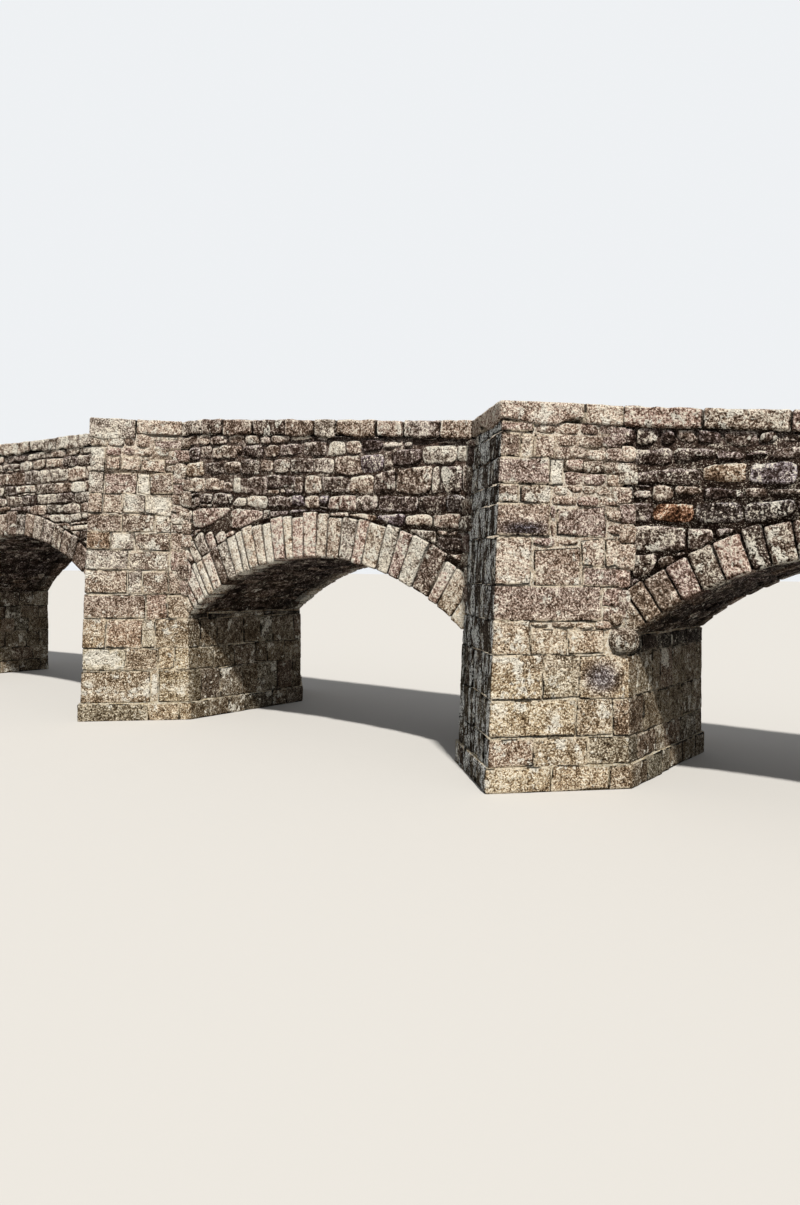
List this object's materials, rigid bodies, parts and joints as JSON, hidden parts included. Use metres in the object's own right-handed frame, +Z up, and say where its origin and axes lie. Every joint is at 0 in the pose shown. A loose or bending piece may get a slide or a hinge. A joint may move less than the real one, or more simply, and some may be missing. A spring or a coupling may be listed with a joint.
{
  "type": "packhorse bridge",
  "caption": "Granite packhorse bridge with segmental arches, pointed cutwaters rising into refuges, rubble spandrels and a sloping walled way.",
  "frame": {"origin": "middle of the bridge's base at low-water level, under the middle arch's crown", "axes": "+X along the way from the higher left end to the lower right end, -Y out of the near face, +Z up"},
  "size_m": [29.4, 6.1622, 5.6],
  "materials": {
    "coursed_granite": "rough-hewn, weathered, lichen-spotted",
    "voussoir_granite": "rough-hewn, weathered, lichen-spotted",
    "rubble_granite": "rough rubble in deep open joints",
    "coping_granite": "worn slabs with pale lichen",
    "vault_rubble": "rough rubble slabs, damp and dark",
    "way_paving": "worn cobbles and grit",
    "fill": "packed earth and stone"
  },
  "bodies": {
    "root": {"pier_left": "coursed_granite", "pier_right": "coursed_granite", "abutment_left": "coursed_granite", "abutment_right": "coursed_granite", "vault_left": "vault_rubble", "vault_middle": "vault_rubble", "vault_right": "vault_rubble", "ring_left_front": "voussoir_granite", "ring_left_rear": "voussoir_granite", "ring_middle_front": "voussoir_granite", "ring_middle_rear": "voussoir_granite", "ring_right_front": "voussoir_granite", "ring_right_rear": "voussoir_granite", "wall_left_front": "rubble_granite", "wall_left_rear": "rubble_granite", "wall_middle_front": "rubble_granite", "wall_middle_rear": "rubble_granite", "wall_right_front": "rubble_granite", "wall_right_rear": "rubble_granite", "approach_left_front": "rubble_granite", "approach_left_rear": "rubble_granite", "approach_right_front": "rubble_granite", "approach_right_rear": "rubble_granite", "cutwater_left_front": "coursed_granite", "cutwater_left_rear": "coursed_granite", "cutwater_right_front": "coursed_granite", "cutwater_right_rear": "coursed_granite", "refuge_left_front": "coursed_granite", "refuge_left_rear": "coursed_granite", "refuge_right_front": "coursed_granite", "refuge_right_rear": "coursed_granite", "refuge_coping_left_front": "coping_granite", "refuge_coping_left_rear": "coping_granite", "refuge_coping_right_front": "coping_granite", "refuge_coping_right_rear": "coping_granite", "coping_left_front": "coping_granite", "coping_left_rear": "coping_granite", "coping_middle_front": "coping_granite", "coping_middle_rear": "coping_granite", "coping_right_front": "coping_granite", "coping_right_rear": "coping_granite", "core_fill": "fill", "roadway": "way_paving"}
  },
  "joints": []
}
